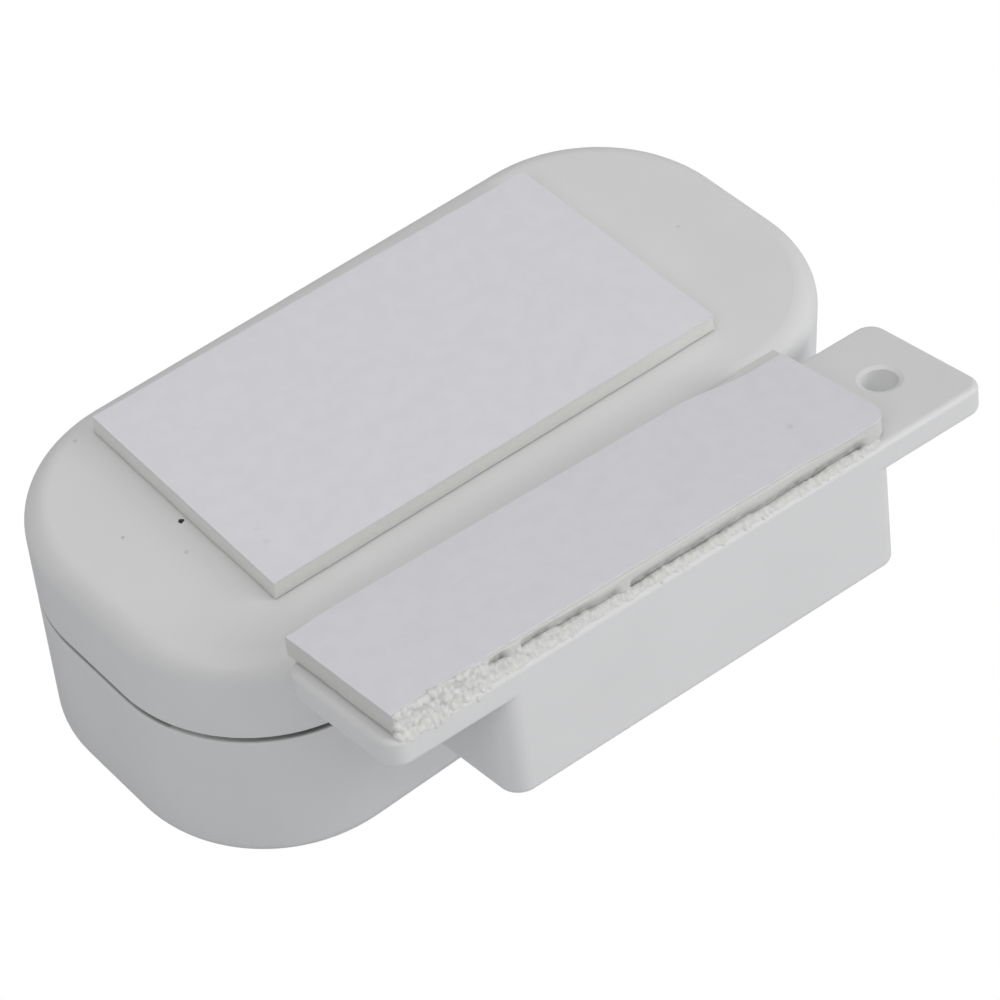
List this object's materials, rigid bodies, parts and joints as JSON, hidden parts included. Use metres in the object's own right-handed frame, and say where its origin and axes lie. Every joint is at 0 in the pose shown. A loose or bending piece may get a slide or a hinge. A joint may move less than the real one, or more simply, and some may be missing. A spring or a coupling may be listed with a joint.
{
  "type": "door contact sensor",
  "caption": "Wireless door contact sensor: a pill-shaped sensor case with a foam pad on its back, and a boxed magnet unit with screw ears and foam tape.",
  "frame": {"origin": "centre of the sensor's front face, which it rests on", "axes": "+X along the sensor, -Y towards the magnet unit, +Z out of the mounting side of the sensor"},
  "size_m": [0.068, 0.05, 0.0288],
  "materials": {
    "case_plastic": "fine satin moulded plastic, off-white",
    "magnet_plastic": "fine satin moulded plastic, off-white",
    "foam": "closed-cell foam, white",
    "liner": "smooth glassine release paper, cool white",
    "clear_plastic": "clear moulded plastic",
    "board": "green solder mask over glass-fibre board",
    "radio_board": "dark blue solder mask",
    "dark_plastic": "black moulded plastic",
    "button_plastic": "dark grey moulded plastic",
    "screw_steel": "zinc-plated steel",
    "contact_nickel": "nickel-plated spring steel",
    "reed_glass": "greenish clear glass",
    "reed_metal": "nickel-iron alloy",
    "cell_wrap": "thin printed metallic film over a metal can, plain green and silver",
    "led_body": "pale yellow resin",
    "shield_steel": "tin-plated steel",
    "copper": "gold-plated copper",
    "chip_resin": "black moulding resin",
    "capacitor_resin": "yellow moulding resin",
    "chip_ceramic": "brown ceramic with tinned ends",
    "magnet_ferrite": "dark grey sintered magnet"
  },
  "bodies": {
    "sensor_front": {"front_shell": "case_plastic", "light_pipe": "clear_plastic", "main_board": "board", "board_screws": "screw_steel", "battery_holder": "dark_plastic", "contact_bridge": "contact_nickel", "contact_positive": "contact_nickel", "contact_negative": "contact_nickel", "battery_springs": "contact_nickel", "reed_glass": "reed_glass", "reed_blade_fixed": "reed_metal", "reed_lead": "reed_metal", "status_led": "led_body", "pairing_switch_case": "dark_plastic", "tamper_switch_case": "dark_plastic", "radio_board": "radio_board", "shield_can": "shield_steel", "antenna_trace": "copper", "controller_chip": "chip_resin", "crystal": "shield_steel", "tank_capacitor": "capacitor_resin", "small_chips": "chip_ceramic"},
    "back_cover": {"back_cover": "case_plastic", "main_pad_foam": "foam"},
    "main_liner": {"main_pad_liner": "liner"},
    "battery_a": {"battery_a": "cell_wrap"},
    "battery_b": {"battery_b": "cell_wrap"},
    "pairing_button": {"pairing_button": "button_plastic"},
    "tamper_plunger": {"tamper_plunger": "button_plastic"},
    "reed_blade": {"reed_blade_moving": "reed_metal"},
    "magnet_unit": {"magnet_housing": "magnet_plastic", "bar_magnet": "magnet_ferrite", "magnet_plate": "magnet_plastic", "magnet_tape_foam": "foam"},
    "magnet_liner": {"magnet_tape_liner": "liner"}
  },
  "joints": [
    {"name": "door_gap", "type": "slide", "parent": "sensor_front", "child": "magnet_unit", "axis": [0, -1, 0], "range_m": [0, 0.04]},
    {"name": "back_cover_lift", "type": "slide", "parent": "sensor_front", "child": "back_cover", "axis": [0, 0, 1], "range_m": [0, 0.045]},
    {"name": "battery_a_out", "type": "slide", "parent": "sensor_front", "child": "battery_a", "axis": [0, 0, 1], "range_m": [0, 0.0225]},
    {"name": "battery_b_out", "type": "slide", "parent": "sensor_front", "child": "battery_b", "axis": [0, 0, 1], "range_m": [0, 0.0225]},
    {"name": "tamper_plunger_release", "type": "slide", "parent": "sensor_front", "child": "tamper_plunger", "axis": [0, 0, 1], "range_m": [0, 0.0009]},
    {"name": "pairing_button_press", "type": "slide", "parent": "sensor_front", "child": "pairing_button", "axis": [0, 0, -1], "range_m": [0, 0.00025], "stiffness_N_per_m": 2, "springref_m": -0.001},
    {"name": "reed_blade_open", "type": "hinge", "parent": "sensor_front", "child": "reed_blade", "pos_m": [-0.0043, -0.0135, 0.00739], "axis": [0, -1, 0], "range_deg": [0, 1]},
    {"name": "main_liner_peel", "type": "hinge", "parent": "back_cover", "child": "main_liner", "pos_m": [-0.02294, 0.00195, 0.02355], "axis": [-0.0227, -0.9997, 0], "range_deg": [0, 100]},
    {"name": "magnet_liner_peel", "type": "hinge", "parent": "magnet_unit", "child": "magnet_liner", "pos_m": [-0.02747, -0.02319, 0.02768], "axis": [-0.0139, -0.9868, 0.1615], "range_deg": [0, 100]}
  ],
  "couplings": [
    {"joint": "battery_a_out", "follows": "back_cover_lift", "ratio": 0.5},
    {"joint": "battery_b_out", "follows": "back_cover_lift", "ratio": 0.5},
    {"joint": "tamper_plunger_release", "follows": "back_cover_lift", "ratio": 0.02},
    {"joint": "reed_blade_open", "follows": "door_gap", "rad_per_m": 0.436}
  ]
}
